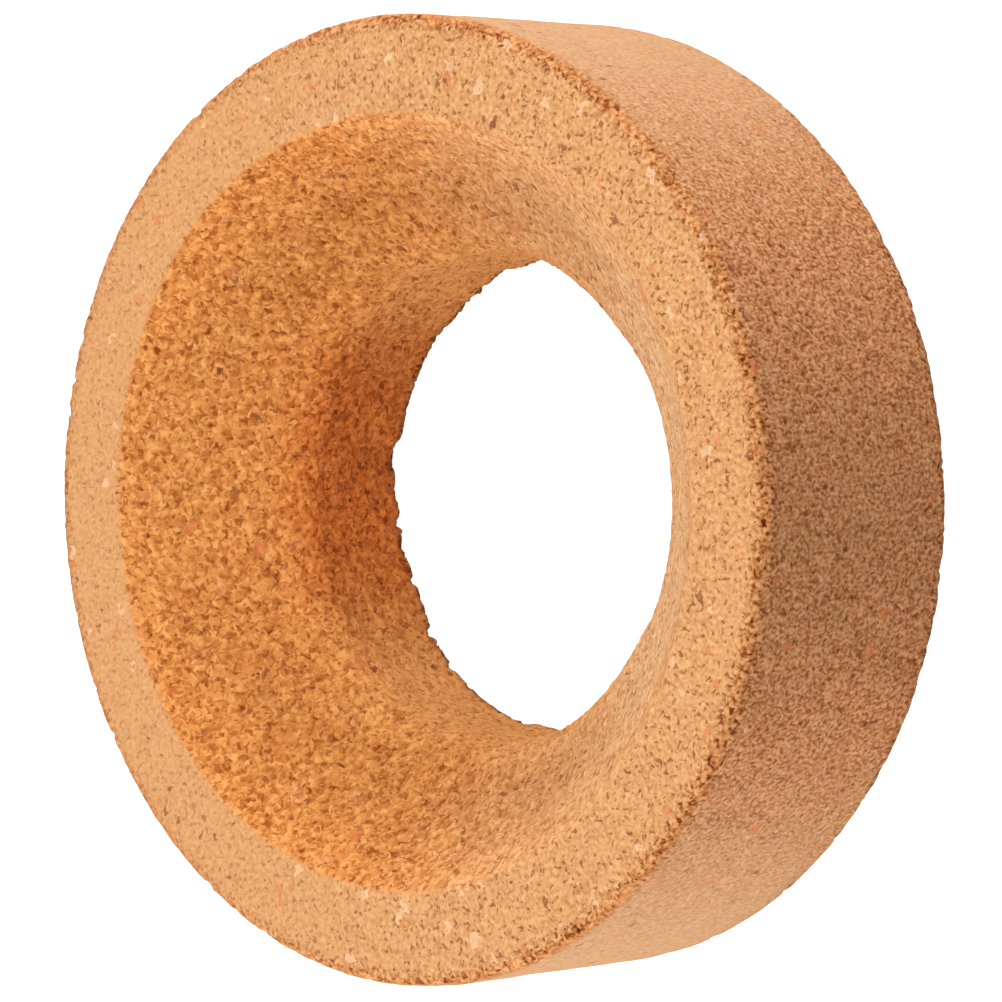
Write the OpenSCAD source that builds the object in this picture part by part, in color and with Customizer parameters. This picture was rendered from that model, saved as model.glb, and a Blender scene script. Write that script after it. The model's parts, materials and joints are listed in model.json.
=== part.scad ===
// Cork ring that holds a round-bottomed flask upright on a bench.
// One piece of pressed cork granules: a flat back face, a straight bore, and a
// conical seat that opens from the bore to a flat rim.
// Millimetres. The ring lies on its flat back face at z = 0, with its axis on +Z.

/* [Ring] */
// Diameter across the outer wall
outer_d = 140; // [115:1:200]
// Height from the back face to the rim
height = 40; // [30:1:80]

/* [Bore and seat] */
// Diameter of the straight bore
bore_d = 73; // [40:1:100]
// Width of the flat rim between the seat and the outer wall
rim_w = 13; // [5:0.5:30]
// Depth of the conical seat, from the rim down to the bore
seat_depth = 20; // [6:1:32]

/* [Rounded edges] */
// Radius of the rim's outer edge
rim_edge_r = 1.5; // [0.3:0.1:4]
// Radius of the edge where the rim turns down into the seat
mouth_edge_r = 1.2; // [0.3:0.1:6]
// Radius of the blend where the seat turns down into the bore
throat_edge_r = 4; // [0.3:0.1:10]
// Radius of the bore's edge at the back face
bore_edge_r = 0.5; // [0.2:0.1:4]
// Radius of the back face's outer edge
foot_edge_r = 1.5; // [0.3:0.1:4]

/* [Hidden] */

outer_r = outer_d / 2;
bore_r = bore_d / 2;
mouth_r = outer_r - rim_w;
throat_z = height - seat_depth;
ring_facets = 180;
edge_facets = 48;
kite_growth = 1.2;
arc_overlap = 0.002;

// Corners of the section on one side of the axis, in order round it: [r, z, edge radius]
section_corners = [
    [bore_r, 0, bore_edge_r],
    [outer_r, 0, foot_edge_r],
    [outer_r, height, rim_edge_r],
    [mouth_r, height, mouth_edge_r],
    [bore_r, throat_z, throat_edge_r]
];

function point(corner) = [corner[0], corner[1]];
function unit(v) = v / norm(v);

// What rounding takes off one corner: the kite between the corner, the two points
// where the arc meets the sides, and the arc's centre, less the arc's own circle.
// The kite is grown past the section and the circle a hair past its sides, so that
// nothing is cut along a line that it only touches
module edge_waste(before, corner, after, radius) {
    to_before = unit(before - corner);
    to_after = unit(after - corner);
    half_angle = acos(to_before * to_after) / 2;
    setback = radius / tan(half_angle);
    centre = unit(to_before + to_after) * radius / sin(half_angle);
    kite = [[0, 0], to_before * setback, centre, to_after * setback];
    translate(corner + centre) difference() {
        polygon([for (tip = kite) (tip - centre) * kite_growth]);
        circle(radius + arc_overlap, $fn = edge_facets);
    }
}

// Half of the ring's cross-section, with every edge rounded
module section() {
    count = len(section_corners);
    difference() {
        polygon([for (corner = section_corners) point(corner)]);
        for (i = [0 : count - 1])
            edge_waste(
                point(section_corners[(i + count - 1) % count]),
                point(section_corners[i]),
                point(section_corners[(i + 1) % count]),
                section_corners[i][2]
            );
    }
}

// The whole ring, pressed and turned as one solid
module cork_ring() {
    color([0.84, 0.6, 0.38])
        rotate_extrude($fn = ring_facets) section();
}

cork_ring();
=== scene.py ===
import json
import math
import random

import bmesh
import bpy
from mathutils import Matrix, Vector


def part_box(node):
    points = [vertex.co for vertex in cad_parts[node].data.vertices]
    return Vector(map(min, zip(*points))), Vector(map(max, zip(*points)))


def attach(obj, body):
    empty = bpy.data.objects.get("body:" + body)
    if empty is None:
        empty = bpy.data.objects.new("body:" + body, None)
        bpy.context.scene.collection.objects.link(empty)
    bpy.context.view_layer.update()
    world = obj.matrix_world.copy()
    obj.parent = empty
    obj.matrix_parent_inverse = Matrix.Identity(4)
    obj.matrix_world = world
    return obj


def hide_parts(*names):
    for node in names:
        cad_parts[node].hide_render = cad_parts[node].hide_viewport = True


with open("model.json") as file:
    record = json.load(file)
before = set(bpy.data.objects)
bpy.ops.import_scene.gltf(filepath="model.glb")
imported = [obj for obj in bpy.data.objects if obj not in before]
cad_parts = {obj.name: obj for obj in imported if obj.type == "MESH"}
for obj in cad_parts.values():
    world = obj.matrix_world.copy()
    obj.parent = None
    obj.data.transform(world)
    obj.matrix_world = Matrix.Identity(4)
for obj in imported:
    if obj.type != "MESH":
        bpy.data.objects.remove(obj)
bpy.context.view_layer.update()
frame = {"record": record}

mm = 0.001
scene = bpy.context.scene

# a pressed cork ring: metres and counts, with the outside sizes taken from the frame
ring = {
    "rimWidth": 0.013,          # flat band between the mouth and the outer wall
    "seatDepth": 0.020,         # depth of the conical seat below the rim
    "rimEdge": 0.0016,          # rounding of each edge
    "mouthEdge": 0.0010,
    "throatEdge": 0.0070,
    "boreEdge": 0.0005,
    "footEdge": 0.0008,
    "edgeStep": 0.00045,        # length of the steps in a rounding
    "turns": 656,               # steps round the axis
    "wallRow": 0.00082,         # row heights of the mesh on each face
    "rimRow": 0.00064,
    "seatRow": 0.00076,
    "boreRow": 0.00080,
    "backRow": 0.0060,
    "shortest": 0.003,          # longer lines of the section are straight faces, and get rows
    "near": 0.0001,             # a line this near a face lies in it
    "wander": 0.22,             # how far a vertex strays from the grid, as a share of a cell
    "seed": 7,
}

low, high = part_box("cork_ring")
outerRadius = (high.x - low.x) / 2
ringHeight = high.z - low.z
boreMount = next(m for m in frame["record"]["mounts"] if m["name"] == "bore")
boreRadius = boreMount["dims"]["r_mm"] * mm
mouthRadius = outerRadius - ring["rimWidth"]
throatHeight = ringHeight - ring["seatDepth"]


def addNode(tree, kind, inputs=None, **settings):
    node = tree.nodes.new(kind)
    for name, value in settings.items():
        setattr(node, name, value)
    for key, value in (inputs or {}).items():
        if isinstance(value, bpy.types.NodeSocket):
            tree.links.new(value, node.inputs[key])
        else:
            node.inputs[key].default_value = value
    return node


def maths(tree, operation, *values):
    return addNode(tree, "ShaderNodeMath", dict(enumerate(values)), operation=operation).outputs[0]


def vectorMaths(tree, operation, *values):
    return addNode(tree, "ShaderNodeVectorMath", dict(enumerate(values)), operation=operation).outputs[0]


def scaled(tree, vector, factor):
    return addNode(tree, "ShaderNodeVectorMath", {0: vector, "Scale": factor}, operation="SCALE").outputs[0]


def ramp(tree, value, start, end, low=0.0, high=1.0):
    inputs = {"Value": value, "From Min": start, "From Max": end, "To Min": low, "To Max": high}
    return addNode(tree, "ShaderNodeMapRange", inputs, interpolation_type="SMOOTHSTEP").outputs[0]


def blend(tree, factor, first, second):
    return addNode(tree, "ShaderNodeMix", {0: factor, 2: first, 3: second}).outputs[0]


def blendColour(tree, factor, first, second, kind="MIX"):
    inputs = {0: factor, 6: first, 7: second}
    return addNode(tree, "ShaderNodeMix", inputs, data_type="RGBA", blend_type=kind).outputs[2]


def noise(tree, place, scale, detail=2.0, roughness=0.5):
    inputs = {"Vector": place, "Scale": scale, "Detail": detail, "Roughness": roughness}
    return addNode(tree, "ShaderNodeTexNoise", inputs)


def cells(tree, place, size, feature="F1"):
    return addNode(tree, "ShaderNodeTexVoronoi", {"Vector": place, "Scale": 1 / size}, feature=feature)


def channels(tree, colour):
    split = addNode(tree, "ShaderNodeSeparateXYZ", {0: colour})
    return split.outputs[0], split.outputs[1], split.outputs[2]


# sizes in millimetres of what pressed cork is made of
grain = {
    "granule": 1.7,             # the bigger granules
    "granuleShare": 0.40,       # how much of the surface they take
    "crumb": 0.94,              # the crumbs pressed in between them
    "wobble": 1.3,              # how far their outlines wander
    "gentle": 0.55,             # and how far the grain of the rim and the wall wanders
    "rimFibre": 0.68,           # width of the fibres and pits on each face
    "wallFibre": 0.50,
    "seatFibre": 1.00,
    "rimDetail": 1.0,           # and how much finer grain there is in them
    "wallDetail": 0.0,
    "seatDetail": 0.6,
    "wallDrag": 0.70,           # under 1, the wall's fibres are drawn out along the axis
    "stretch": 0.42,            # 0 round pits, towards 1 long ones
    "toneShare": 0.08,          # how far a granule's own tone counts beside its fibres
    "fibreGain": 1.85,          # contrast of the fibres
    "patch": 4.0,               # size of the soft paler and darker patches
    "patchGain": 0.26,
    "speck": 0.85,              # how far apart the dark specks lie
    "speckFrom": 0.25, "speckTo": 0.33,     # fully dark below the first, gone above the second
    "dot": 0.34,                # the biggest pit in the middle of a crumb, as a share of the crumb
    "dotFrom": -0.16, "dotTo": 0.18,        # how softly such a pit ends
    "dotOffWall": 0.95,         # how strong those pits are away from the wall
    "crumbHue": 0.9,            # keeps the small crumbs short of the chalky hues
}


def corkPattern(tree, place, seat, wall):
    # the same granules drive the relief of the mesh and the colours of the material
    centre = (0.5, 0.5, 0.5)
    soft = noise(tree, place, 1 / grain["speck"], 0.0)
    speck = ramp(tree, soft.outputs[0], grain["speckFrom"], grain["speckTo"], 1.0, 0.0)
    wobble = vectorMaths(tree, "SUBTRACT", soft.outputs[1], centre)
    bent = vectorMaths(tree, "ADD", place, scaled(tree, wobble, grain["wobble"]))
    granule = cells(tree, bent, grain["granule"]).outputs["Color"]
    granuleTone, granulePick, granuleHue = channels(tree, granule)

    # fibres and pits run one way inside each granule
    way = vectorMaths(tree, "NORMALIZE", vectorMaths(tree, "SUBTRACT", granule, centre))
    product = addNode(tree, "ShaderNodeVectorMath", {0: bent, 1: way}, operation="DOT_PRODUCT")
    along = product.outputs["Value"]
    squeezed = scaled(tree, way, maths(tree, "MULTIPLY", along, -grain["stretch"]))
    dashPlace = vectorMaths(tree, "ADD", bent, squeezed)
    crumb = cells(tree, dashPlace, grain["crumb"])
    crumbTone, crumbPick, crumbHue = channels(tree, crumb.outputs["Color"])
    isBig = maths(tree, "LESS_THAN", granulePick, grain["granuleShare"])
    tone = blend(tree, isBig, crumbTone, granuleTone)
    dotSize = maths(tree, "MULTIPLY", crumbHue, grain["dot"])
    dotPlace = maths(tree, "SUBTRACT", crumb.outputs["Distance"], dotSize)
    dot = ramp(tree, dotPlace, grain["dotFrom"], grain["dotTo"], 1.0, 0.0)
    dot = maths(tree, "MULTIPLY", dot, blend(tree, wall, grain["dotOffWall"], 1.0))
    speck = maths(tree, "MAXIMUM", speck, dot)
    gentle = vectorMaths(tree, "ADD", place, scaled(tree, wobble, grain["gentle"]))
    wallPlace = vectorMaths(tree, "MULTIPLY", gentle, (1, 1, grain["wallDrag"]))
    onRim = noise(tree, gentle, 1 / grain["rimFibre"], grain["rimDetail"]).outputs[0]
    onSeat = noise(tree, dashPlace, 1 / grain["seatFibre"], grain["seatDetail"]).outputs[0]
    onWall = noise(tree, wallPlace, 1 / grain["wallFibre"], grain["wallDetail"]).outputs[0]
    fibre = maths(tree, "SUBTRACT", blend(tree, wall, blend(tree, seat, onRim, onSeat), onWall), 0.5)
    patch = maths(tree, "SUBTRACT", noise(tree, place, 1 / grain["patch"], 1.0).outputs[0], 0.5)
    texture = maths(tree, "MULTIPLY_ADD", fibre, grain["fibreGain"], 0.5)
    texture = maths(tree, "MULTIPLY_ADD", patch, grain["patchGain"], texture)
    hue = blend(tree, isBig, maths(tree, "MULTIPLY", crumbHue, grain["crumbHue"]), granuleHue)
    return {"shade": blend(tree, grain["toneShare"], texture, tone), "tone": tone, "fibre": fibre,
            "hue": hue, "fleck": crumbPick, "speck": speck}


def ringSection(mesh):
    # half of the cross-section, in the plane y = 0, as a closed line with rounded corners
    corners = [
        (boreRadius, 0.0, "boreEdge"),
        (outerRadius, 0.0, "footEdge"),
        (outerRadius, ringHeight, "rimEdge"),
        (mouthRadius, ringHeight, "mouthEdge"),
        (boreRadius, throatHeight, "throatEdge"),
    ]
    points = [mesh.verts.new((radius, 0, height)) for radius, height, edge in corners]
    for i, point in enumerate(points):
        mesh.edges.new((point, points[(i + 1) % len(points)]))
    for point, (radius, height, edge) in zip(points, corners):
        sides = [e.other_vert(point).co - point.co for e in point.link_edges]
        setback = ring[edge] / math.tan(sides[0].angle(sides[1]) / 2)
        steps = max(2, round(ring[edge] / ring["edgeStep"]))
        bmesh.ops.bevel(mesh, geom=[point], offset=setback, offset_type="OFFSET", segments=steps,
                        profile=0.5, affect="VERTICES", material=-1)


def rowHeight(start, end):
    middle = (start + end) / 2
    if middle.z < ring["near"]:
        return ring["backRow"]
    if middle.x > outerRadius - ring["near"]:
        return ring["wallRow"]
    if middle.z > ringHeight - ring["near"]:
        return ring["rimRow"]
    return ring["boreRow"] if middle.x < boreRadius + ring["near"] else ring["seatRow"]


def spinRing():
    mesh = bmesh.new()
    ringSection(mesh)
    for edge in [e for e in mesh.edges if e.calc_length() > ring["shortest"]]:
        start, end = (v.co for v in edge.verts)
        rows = round(edge.calc_length() / rowHeight(start, end))
        bmesh.ops.subdivide_edges(mesh, edges=[edge], cuts=rows - 1)
    # an eighth of a turn is spun, then doubled three times, which is much quicker than a full spin
    eighth = math.pi / 4
    bmesh.ops.spin(mesh, geom=mesh.verts[:] + mesh.edges[:], cent=(0, 0, 0), axis=(0, 0, 1),
                   dvec=(0, 0, 0), angle=eighth, steps=ring["turns"] // 8, use_merge=False)
    for turn in (eighth, 2 * eighth, 4 * eighth):
        copy = bmesh.ops.duplicate(mesh, geom=mesh.verts[:] + mesh.edges[:] + mesh.faces[:])["geom"]
        copied = [v for v in copy if isinstance(v, bmesh.types.BMVert)]
        bmesh.ops.rotate(mesh, verts=copied, cent=(0, 0, 0), matrix=Matrix.Rotation(turn, 3, "Z"))
    bmesh.ops.remove_doubles(mesh, verts=mesh.verts[:], dist=ring["near"] / 10)
    bmesh.ops.recalc_face_normals(mesh, faces=mesh.faces[:])
    straggle(mesh)
    data = bpy.data.meshes.new("corkRing")
    mesh.to_mesh(data)
    mesh.free()
    data.shade_smooth()
    return data


def straggle(mesh):
    # each vertex strays a little towards a neighbour, so that the grid doesn't show in the relief
    dice = random.Random(ring["seed"])
    moves = []
    for vert in mesh.verts:
        edge = dice.choice(vert.link_edges)
        share = dice.random() * ring["wander"]
        moves.append(vert.co.lerp(edge.other_vert(vert).co, share))
    for vert, place in zip(mesh.verts, moves):
        vert.co = place


def ease(value, start, end):
    share = min(1.0, max(0.0, (value - start) / (end - start)))
    return share * share * (3 - 2 * share)


strays = {                      # for each edge: degrees round the axis, half width, millimetres outwards
    "mouth": ((90, 45, -1.3), (-90, 45, -0.7)),
    "bore": ((0, 90, -0.45), (48, 26, -0.75), (-48, 26, -0.75), (90, 34, -0.55), (-90, 34, -0.6),
             (101, 9, -0.5), (-101, 9, -0.5)),
    "back": ((169, 5, 1.2), (175, 5, 0.45), (186, 6, -0.4), (203, 14, -0.9), (124, 14, -0.8)),
}

reach = {                       # millimetres over which a stray fades out
    "bore": (2, 9),             # from the bore's surface
    "back": (2, 14),            # from the back face
    "mouth": 9,                 # to each side of the mouth
    "top": (0.4, 0.7),          # shares of the height, below which the mouth's strays are gone
}


def strayEdges(data):
    # the edges of a real ring aren't true circles
    boreFull, boreEnd = (distance * mm for distance in reach["bore"])
    backFull, backEnd = (distance * mm for distance in reach["back"])
    for vert in data.vertices:
        radius = math.hypot(vert.co.x, vert.co.y)
        height = vert.co.z
        bore = 1 - ease(radius - boreRadius, boreFull, boreEnd)
        mouth = 1 - ease(abs(radius - mouthRadius), 0.0, reach["mouth"] * mm)
        shares = {"bore": bore, "back": bore * (1 - ease(height, backFull, backEnd)),
                  "mouth": mouth * ease(height / ringHeight, *reach["top"])}
        angle = math.degrees(math.atan2(vert.co.y, vert.co.x))
        moved = 0.0
        for name, bumps in strays.items():
            for middle, halfWidth, amount in bumps:
                apart = abs((angle - middle + 180) % 360 - 180)
                moved += shares[name] * amount * mm * (1 - ease(apart, halfWidth / 4, halfWidth))
        vert.co.xy *= 1 + moved / radius


zones = {                       # where each surface starts and where it is fully itself
    "seat": (-0.45, 0.35),      # millimetres in from the mouth
    "foot": (0.0, 0.6),         # millimetres up from the back face
    "wall": (-1.3, -0.1),       # millimetres out from the wall's surface
    "underRim": (0.3, 1.6),     # millimetres down from the rim
    "outerEdge": (0.7, 2.8),    # millimetres from the rim's and the foot's edge
    "boreEdge": (0.3, 1.7),     # millimetres from the bore's back edge
    "rim": (0.85, 0.95),        # share of the height
    "deep": (0.70, 1.20),       # share of the seat's depth, where the painted shade is darkest
    # share of the seat's depth past which the painted light on the far side fades out
    "shallow": (0.65, 0.95),
    # share of the seat's depth over which the painted light on the near side grows
    "paintedLightDepth": (0.05, 0.35),
}

sides = {                       # towards which side something grows, as a share of the radius
    "paintedLitSeat": (-0.3, 0.65),   # along X: the near side of the seat, which has no painted shade and gets the painted light
    # along X, where the seat takes the pale painted-light colour
    "paintedLight": (0.5, 0.9),
    "smoothRim": (-0.3, 0.8),   # along -X
    "paintedSheenWall": (0.45, 0.95),   # along Y, to both sides, where the wall is painted paler as a painted sheen
    "middle": 0.12,             # the painted shade of the bore is darkest this far off the X axis
    "facing": (0.1, 0.5),       # the painted light on the seat's far side fades away from that middle
    # the painted light on the sides of the deep seat and bore grows away from that middle
    "lift": (0.4, 0.95),
    # and the painted shade of the bore lessens away from it
    "lessDeep": (0.2, 0.8),
}

wearAndPaintedLight = {
    "rim": 0.65,                # how smooth the rim gets
    "seat": 0.6,                # how smooth the side of the seat with the painted light is
    "facing": 0.14,             # how much paler the painted light makes the seat straight across from its painted lit side
    "paleDeep": 0.5,            # how much less painted shade the bore has on the painted lit side
    "sideDeep": 0.8,            # and at its sides
}


def markZones(data):
    # every vertex keeps where it was before the relief, how far it belongs to each surface, and how much
    # painted shade, painted light and painted sheen its colour gets
    for name in ("restPlace", "zone", "paintedShadeAndLight"):
        data.attributes.new(name, "FLOAT_VECTOR", "POINT")
    for name in ("wornAndPaintedSheen", "paintedLight"):
        data.attributes.new(name, "FLOAT", "POINT")
    places, zone, paintedShadeAndLight = (data.attributes[name] for name in ("restPlace", "zone", "paintedShadeAndLight"))
    wornAndPaintedSheen, paintedLight = (data.attributes[name] for name in ("wornAndPaintedSheen", "paintedLight"))
    for i, vert in enumerate(data.vertices):
        radius = math.hypot(vert.co.x, vert.co.y)
        height = vert.co.z
        below = ringHeight - height
        inSeat = below / ring["seatDepth"]
        across, along = vert.co.x / radius, vert.co.y / radius
        seat = ease((mouthRadius - radius) / mm, *zones["seat"]) * ease(height / mm, *zones["foot"])
        wall = ease((radius - outerRadius) / mm, *zones["wall"]) * ease(below / mm, *zones["underRim"])
        toRim = math.hypot(outerRadius - radius, below) / mm
        toFoot = math.hypot(outerRadius - radius, height) / mm
        toBore = math.hypot(radius - boreRadius, height) / mm
        edge = max(1 - ease(toRim, *zones["outerEdge"]),
                   relief["footEdgeLess"] * (1 - ease(toFoot, *zones["outerEdge"])),
                   relief["boreEdgeExtra"] * (1 - ease(toBore, *zones["boreEdge"])))

        # painted shade: the seat darkens and reddens down towards the bore
        depth = seat * ease(inSeat, *zones["deep"])
        paintedLitSide = ease(across, *sides["paintedLitSeat"])
        aside = abs(along - sides["middle"])
        facing = seat * (1 - paintedLitSide) * (1 - ease(aside, *sides["facing"]))
        # painted light on the sides of the deep seat and bore, and on the seat's far side near the mouth
        lift = max(depth * ease(aside, *sides["lift"]),
                   wearAndPaintedLight["facing"] * facing * (1 - ease(inSeat, *zones["shallow"])))
        # less painted shade on the lit side and at the sides
        depth *= (1 - wearAndPaintedLight["paleDeep"] * paintedLitSide) * (1 - wearAndPaintedLight["sideDeep"] * ease(aside, *sides["lessDeep"]))
        onRim = (1 - seat) * ease(height / ringHeight, *zones["rim"])
        smoothRim = wearAndPaintedLight["rim"] * onRim * ease(-across, *sides["smoothRim"])

        places.data[i].vector = vert.co
        zone.data[i].vector = (seat, wall, edge)
        # the seat's painted shade away from the near side, the painted shade deep down, and the painted
        # light
        paintedShadeAndLight.data[i].vector = (seat * (1 - paintedLitSide), depth, lift)
        # the smoother rim and near side of the seat, and the wall's sides with the painted sheen
        wornAndPaintedSheen.data[i].value = max(smoothRim + wearAndPaintedLight["seat"] * seat * paintedLitSide,
                                 wall * ease(abs(along), *sides["paintedSheenWall"]))
        # painted light on the near side of the seat, deep down
        paleDeep = ease(inSeat, *zones["paintedLightDepth"]) * ease(across, *sides["paintedLight"])
        paintedLight.data[i].value = seat * paleDeep


relief = {                      # millimetres
    "rimGranule": 0.04, "seatGranule": 0.14, "wallGranule": 0.07, "edgeGranule": 0.22,
    "rimPit": 0.22, "seatPit": 0.85, "wallPit": 0.26,
    "chip": 0.50,               # depth of the chips along the edges, and how far apart their cells lie
    "chipSize": 1.9,
    "chipShare": 0.35,          # how many of those cells are chipped
    "chipFloor": 0.25, "chipRim": 0.6,      # where a chip's floor ends and its rim lies
    "boreEdgeExtra": 1.7,       # the bore's back edge is chipped this much more
    "footEdgeLess": 0.4,        # and the foot of the wall this much less
    "speck": 0.16,              # depth of the dark specks
    "wornDown": 0.15,           # how much of the relief is left where the face is worn, and on the wall's sides under the painted sheen
    "sway": 0.22,               # slow unevenness of the turned faces, and how often it changes
    "swayScale": 0.09,
}


def reliefNodes():
    tree = bpy.data.node_groups.new("corkRelief", "GeometryNodeTree")
    tree.interface.new_socket("Geometry", in_out="INPUT", socket_type="NodeSocketGeometry")
    tree.interface.new_socket("Geometry", in_out="OUTPUT", socket_type="NodeSocketGeometry")
    start = tree.nodes.new("NodeGroupInput")
    end = tree.nodes.new("NodeGroupOutput")
    position = tree.nodes.new("GeometryNodeInputPosition").outputs[0]
    normal = tree.nodes.new("GeometryNodeInputNormal").outputs[0]
    place = scaled(tree, position, 1 / mm)
    zone = addNode(tree, "GeometryNodeInputNamedAttribute", {"Name": "zone"}, data_type="FLOAT_VECTOR")
    seat, wall, edge = channels(tree, zone.outputs[0])
    wornAndPaintedSheen = addNode(tree, "GeometryNodeInputNamedAttribute", {"Name": "wornAndPaintedSheen"}, data_type="FLOAT")
    wornAndPaintedSheen = wornAndPaintedSheen.outputs[0]
    grit = corkPattern(tree, place, seat, wall)

    amount = blend(tree, seat, relief["rimGranule"], relief["seatGranule"])
    amount = blend(tree, wall, amount, relief["wallGranule"])
    amount = blend(tree, edge, amount, relief["edgeGranule"])
    height = maths(tree, "MULTIPLY", maths(tree, "SUBTRACT", grit["tone"], 0.5), amount)
    pitDepth = blend(tree, seat, relief["rimPit"], relief["seatPit"])
    pitDepth = blend(tree, wall, pitDepth, relief["wallPit"])
    height = maths(tree, "ADD", height, maths(tree, "MULTIPLY", grit["fibre"], pitDepth))
    height = maths(tree, "SUBTRACT", height, maths(tree, "MULTIPLY", grit["speck"], relief["speck"]))
    height = maths(tree, "MULTIPLY", height, blend(tree, wornAndPaintedSheen, 1.0, relief["wornDown"]))

    chipCell = cells(tree, place, relief["chipSize"])
    chipPick = channels(tree, chipCell.outputs["Color"])[0]
    chip = maths(tree, "LESS_THAN", chipPick, relief["chipShare"])
    bowl = ramp(tree, chipCell.outputs["Distance"], relief["chipFloor"], relief["chipRim"], 1.0, 0.0)
    chip = maths(tree, "MULTIPLY", chip, bowl)
    chip = maths(tree, "MULTIPLY", maths(tree, "MULTIPLY", chip, edge), relief["chip"])
    height = maths(tree, "SUBTRACT", height, chip)

    sway = maths(tree, "SUBTRACT", noise(tree, place, relief["swayScale"]).outputs[0], 0.5)
    swayAmount = maths(tree, "MULTIPLY", maths(tree, "MAXIMUM", seat, wall), 2 * relief["sway"])
    height = maths(tree, "ADD", height, maths(tree, "MULTIPLY", sway, swayAmount))

    offset = scaled(tree, normal, maths(tree, "MULTIPLY", height, mm))
    moved = addNode(tree, "GeometryNodeSetPosition", {"Geometry": start.outputs[0], "Offset": offset})
    tree.links.new(moved.outputs[0], end.inputs[0])
    return tree


def roughen(piece):
    modifier = piece.modifiers.new("relief", "NODES")
    modifier.node_group = reliefNodes()
    depsgraph = bpy.context.evaluated_depsgraph_get()
    finished = bpy.data.meshes.new_from_object(piece.evaluated_get(depsgraph))
    piece.modifiers.clear()
    old = piece.data
    piece.data = finished
    bpy.data.meshes.remove(old)
    for vert in finished.vertices:
        vert.co.z = max(vert.co.z, 0.0)     # nothing stands below the face that the ring rests on
    finished.shade_smooth()


# linear colours of the cork's pale fibres, and what tints them down to the pits
corkColours = {
    "rim": (0.88, 0.53, 0.256),
    # painted shade: the seat's deeper orange away from its near side stands for shade and for light bounced
    # inside the seat
    "seat": (0.88, 0.405, 0.122),
    # painted light: the near side of the seat, deep down, is painted pale as if lit
    "paintedLitSeat": (0.98, 0.68, 0.39),
    # painted shade: darker and redder deep in the seat and the bore
    "bore": (0.88, 0.31, 0.073),
    # painted light: paler at the sides of the deep seat and bore, and on the seat's far side
    "sideBore": (1.0, 0.50, 0.165),
    "wall": (0.78, 0.395, 0.190),
    # painted sheen: the wall is paler on its sides along Y
    "paintedSheenWall": (0.76, 0.50, 0.30),
    "edge": (0.62, 0.265, 0.088),
    "tints": [(0.0, (0.30, 0.135, 0.05)), (0.16, (0.46, 0.27, 0.145)), (0.50, (0.74, 0.606, 0.50)),
              (0.84, (0.96, 0.94, 0.92)), (1.0, (1.0, 1.0, 1.0))],
    "rimContrast": 0.46, "seatContrast": 0.88, "wallContrast": 0.74, "edgeContrast": 1.4,
    "wornContrast": 0.30,       # how much of the contrast is left where the face is worn, and on the wall's sides under the painted sheen
    "lift": 0.30,               # how much paler the painted light makes the sides of the deep seat and bore, and the seat's far side
    "edgeShare": 0.7,           # how far the edges take their own colour
    "speck": (0.33, 0.17, 0.07),    # tints the cork in the specks
    "speckOnRim": 0.72, "speckOnSeat": 0.58, "speckOnWall": 0.58, "speckOnEdge": 1.0,
    "fleck": (0.21, 0.062, 0.018),      # a few dark, rusty and chalky granules
    "fleckShare": 0.008,
    "fleckAmount": 0.7,
    "rust": (0.66, 0.20, 0.07),
    "rustShare": 0.012,
    "rustAmount": 0.6,
    "chalk": (0.97, 0.66, 0.43),
    "chalkShare": 0.035,
    "chalkOnRim": 0.40, "chalkElsewhere": 0.06,
    "roughness": 0.9,
    "shine": 0.1,
    "sheen": 0.06,
    "sheenRoughness": 0.6,
    "sheenTint": (1.0, 0.70, 0.45),
    "bumpDepth": 0.20 * mm,
    "bumpOnRim": 0.45, "bumpOnSeat": 1.0, "bumpOnWall": 0.6,
}


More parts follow.
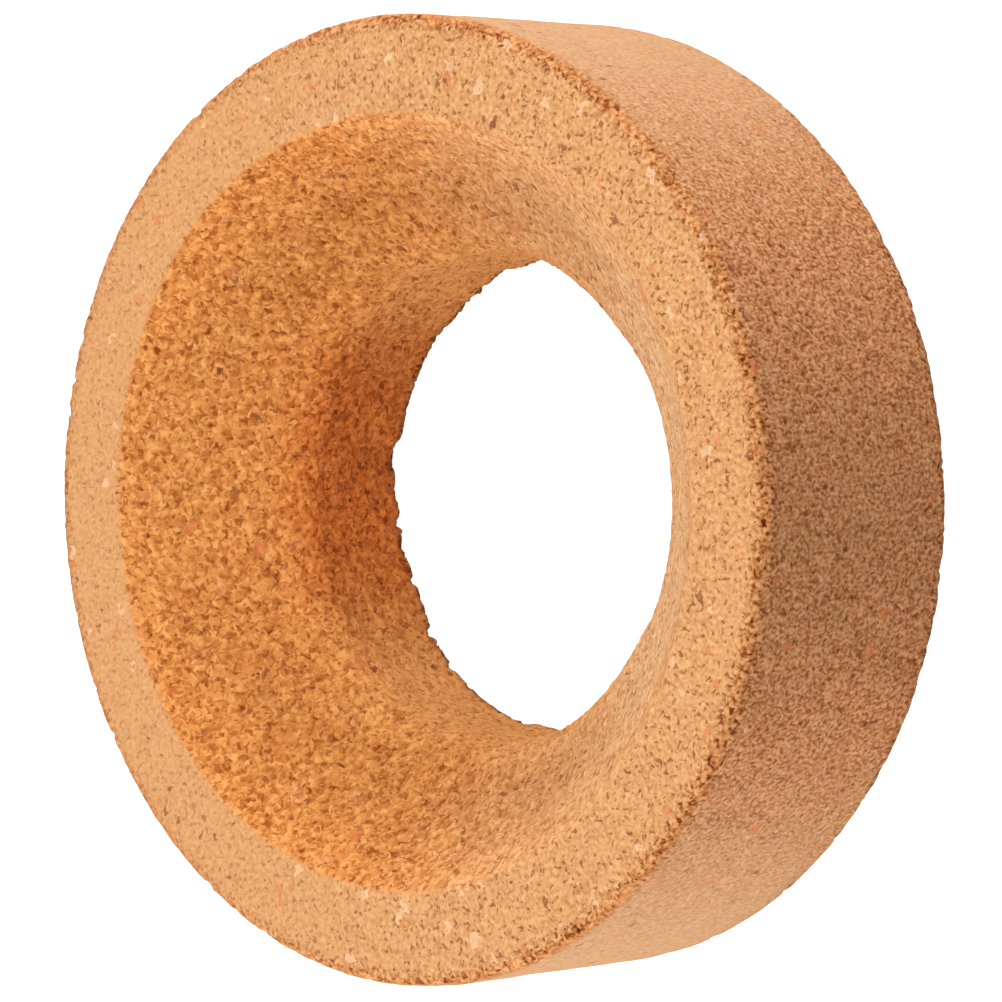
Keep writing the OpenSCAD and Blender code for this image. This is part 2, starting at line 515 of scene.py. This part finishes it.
def corkMaterial():
    look = bpy.data.materials.new("pressedCork")
    look.use_nodes = True
    tree = look.node_tree
    tree.nodes.clear()
    rest = addNode(tree, "ShaderNodeAttribute", attribute_name="restPlace").outputs["Vector"]
    zone = addNode(tree, "ShaderNodeAttribute", attribute_name="zone").outputs["Vector"]
    paintedShadeAndLight = addNode(tree, "ShaderNodeAttribute", attribute_name="paintedShadeAndLight").outputs["Vector"]
    seat, wall, edge = channels(tree, zone)
    paintedShadeSeat, deep, lift = channels(tree, paintedShadeAndLight)
    wornAndPaintedSheen = addNode(tree, "ShaderNodeAttribute", attribute_name="wornAndPaintedSheen").outputs["Fac"]
    left = blend(tree, wornAndPaintedSheen, 1.0, corkColours["wornContrast"])
    place = scaled(tree, rest, 1 / mm)
    grit = corkPattern(tree, place, seat, wall)

    def flat(name):
        return (*corkColours[name], 1)

    paintedLight = addNode(tree, "ShaderNodeAttribute", attribute_name="paintedLight").outputs["Fac"]
    # painted light: the near side of the seat takes the pale colour
    colour = blendColour(tree, paintedLight, flat("rim"), flat("paintedLitSeat"))
    # painted shade: the seat away from its near side takes the deeper orange
    colour = blendColour(tree, paintedShadeSeat, colour, flat("seat"))
    # painted shade: darker and redder deep down
    colour = blendColour(tree, deep, colour, flat("bore"))
    # painted light: paler at the sides of the deep seat and bore
    colour = blendColour(tree, lift, colour, flat("sideBore"))
    # painted sheen: the wall paler on its sides along Y
    wallColour = blendColour(tree, wornAndPaintedSheen, flat("wall"), flat("paintedSheenWall"))
    colour = blendColour(tree, wall, colour, wallColour)
    colour = blendColour(tree, maths(tree, "MULTIPLY", edge, corkColours["edgeShare"]), colour, flat("edge"))

    contrast = blend(tree, seat, corkColours["rimContrast"], corkColours["seatContrast"])
    contrast = blend(tree, wall, contrast, corkColours["wallContrast"])
    contrast = blend(tree, edge, contrast, corkColours["edgeContrast"])
    contrast = maths(tree, "MULTIPLY", contrast, left)
    shade = maths(tree, "MULTIPLY", maths(tree, "SUBTRACT", grit["shade"], 0.5), contrast)
    # the painted light also lifts the tint there
    shade = maths(tree, "ADD", shade, maths(tree, "MULTIPLY_ADD", lift, corkColours["lift"], 0.5))
    tint = addNode(tree, "ShaderNodeValToRGB", {0: shade})
    points = tint.color_ramp.elements
    while len(points) < len(corkColours["tints"]):
        points.new(0.5)
    for point, (position, tone) in zip(points, corkColours["tints"]):
        point.position = position
        point.color = (*tone, 1)
    colour = blendColour(tree, 1.0, colour, tint.outputs[0], "MULTIPLY")
    speckAmount = blend(tree, seat, corkColours["speckOnRim"], corkColours["speckOnSeat"])
    speckAmount = blend(tree, wall, speckAmount, corkColours["speckOnWall"])
    speckAmount = blend(tree, edge, speckAmount, corkColours["speckOnEdge"])
    speckAmount = maths(tree, "MULTIPLY", speckAmount, blend(tree, seat, left, 1.0))
    speckAmount = maths(tree, "MULTIPLY", grit["speck"], speckAmount)
    colour = blendColour(tree, speckAmount, colour, flat("speck"), "MULTIPLY")

    isRust = maths(tree, "LESS_THAN", grit["hue"], corkColours["rustShare"])
    rusty = maths(tree, "MULTIPLY", isRust, corkColours["rustAmount"])
    colour = blendColour(tree, rusty, colour, flat("rust"))
    isChalk = maths(tree, "GREATER_THAN", grit["hue"], 1 - corkColours["chalkShare"])
    offRim = maths(tree, "MAXIMUM", seat, wall)
    chalky = blend(tree, offRim, corkColours["chalkOnRim"], corkColours["chalkElsewhere"])
    colour = blendColour(tree, maths(tree, "MULTIPLY", isChalk, chalky), colour, flat("chalk"))
    isFleck = maths(tree, "LESS_THAN", grit["fleck"], corkColours["fleckShare"])
    dark = maths(tree, "MULTIPLY", isFleck, corkColours["fleckAmount"])
    colour = blendColour(tree, dark, colour, flat("fleck"))

    rough = blend(tree, seat, corkColours["bumpOnRim"], corkColours["bumpOnSeat"])
    rough = blend(tree, wall, rough, corkColours["bumpOnWall"])
    height = maths(tree, "MULTIPLY", grit["fibre"], maths(tree, "MULTIPLY", rough, left))
    bump = addNode(tree, "ShaderNodeBump", {
        "Height": height, "Distance": corkColours["bumpDepth"], "Strength": 1.0})
    cork = addNode(tree, "ShaderNodeBsdfPrincipled", {
        "Base Color": colour, "Normal": bump.outputs[0], "Roughness": corkColours["roughness"],
        "Specular IOR Level": corkColours["shine"], "Sheen Weight": corkColours["sheen"],
        "Sheen Roughness": corkColours["sheenRoughness"], "Sheen Tint": flat("sheenTint")})
    out = addNode(tree, "ShaderNodeOutputMaterial")
    tree.links.new(cork.outputs[0], out.inputs[0])
    return look


stage = {
    "floorSize": 12.0,
    "floorGap": 0.1 * mm,       # under the ring, so that the two faces don't fight
    "floorColour": (0.42, 0.42, 0.42),
    "floorRoughness": 0.9,
    "floorShine": 0.1,
    "ambient": 0.40,
}

lamps = {                       # each softbox: its place, its width and height in metres, its power in watts
    "highA": ((0.22, 0.62, 0.80), (0.5, 0.5), 5.2),
    "highB": ((0.22, -0.58, 0.82), (0.5, 0.5), 4.9),
    "back": ((-0.95, 0.0, 0.35), (0.6, 0.3), 3.0),
    "sideA": ((0.05, 0.95, 0.08), (0.6, 0.14), 6.6),
    "sideB": ((-0.12, -0.95, 0.08), (0.6, 0.14), 6.3),
}

shot = {
    "distance": 0.735,          # from the middle of the rim
    "elevation": 47.39,         # degrees
    "roll": 2.115,
    "aside": 0.0160,            # how far the view's centre lies to the right of the rim's
    "lens": 183.6,              # millimetres, like the sensor
    "sensor": 36,
    "nearest": 0.01,
    "farthest": 20,
}


def whiteToCamera(tree, shader, socket, otherwise):
    # the backdrop looks white, and lights the ring less than that
    seen = addNode(tree, "ShaderNodeLightPath").outputs["Is Camera Ray"]
    tree.links.new(blend(tree, seen, otherwise, 1.0), shader.inputs[socket])


def buildStage():
    mesh = bmesh.new()
    bmesh.ops.create_grid(mesh, x_segments=1, y_segments=1, size=stage["floorSize"] / 2)
    data = bpy.data.meshes.new("floor")
    mesh.to_mesh(data)
    mesh.free()
    floor = bpy.data.objects.new("floor", data)
    floor.location.z = -stage["floorGap"]
    scene.collection.objects.link(floor)
    look = bpy.data.materials.new("paleFloor")
    look.use_nodes = True
    base = look.node_tree.nodes["Principled BSDF"]
    base.inputs["Base Color"].default_value = (*stage["floorColour"], 1)
    base.inputs["Roughness"].default_value = stage["floorRoughness"]
    base.inputs["Specular IOR Level"].default_value = stage["floorShine"]
    base.inputs["Emission Color"].default_value = (1, 1, 1, 1)
    whiteToCamera(look.node_tree, base, "Emission Strength", 0.0)
    data.materials.append(look)

    world = bpy.data.worlds.new("studio")
    world.use_nodes = True
    background = world.node_tree.nodes["Background"]
    background.inputs[0].default_value = (1, 1, 1, 1)
    whiteToCamera(world.node_tree, background, "Strength", stage["ambient"])
    scene.world = world
    for name, (place, (width, tall), power) in lamps.items():
        light = bpy.data.lights.new(name, "AREA")
        light.shape = "RECTANGLE"
        light.size = width
        light.size_y = tall
        light.energy = power
        lamp = bpy.data.objects.new(name, light)
        lamp.location = place
        lamp.rotation_euler = (-Vector(place)).to_track_quat("-Z", "Y").to_euler()
        scene.collection.objects.link(lamp)


def placeCamera():
    elevation = math.radians(shot["elevation"])
    roll = math.radians(shot["roll"])
    back = Vector((math.cos(elevation), 0, math.sin(elevation)))
    right = Vector((math.sin(elevation), 0, -math.cos(elevation)))
    up = Vector((0, 1, 0))
    right, up = right * math.cos(roll) - up * math.sin(roll), right * math.sin(roll) + up * math.cos(roll)
    data = bpy.data.cameras.new("shot")
    data.lens = shot["lens"]
    data.sensor_width = shot["sensor"]
    data.clip_start = shot["nearest"]
    data.clip_end = shot["farthest"]
    camera = bpy.data.objects.new("shot", data)
    turn = Matrix((right, up, back)).transposed().to_4x4()
    place = Vector((0, 0, ringHeight)) + back * shot["distance"] + right * shot["aside"]
    camera.matrix_world = Matrix.Translation(place) @ turn
    scene.collection.objects.link(camera)
    scene.camera = camera


ringMesh = spinRing()
markZones(ringMesh)
strayEdges(ringMesh)
print("section spun:", len(ringMesh.vertices), "vertices")
piece = bpy.data.objects.new("cork_ring_body", ringMesh)
scene.collection.objects.link(piece)
roughen(piece)
piece.data.materials.append(corkMaterial())
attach(piece, "root")
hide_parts("cork_ring")
print("relief and material on", piece.name)

buildStage()
placeCamera()
scene.view_settings.view_transform = "Standard"
print("stage, lights and camera placed")
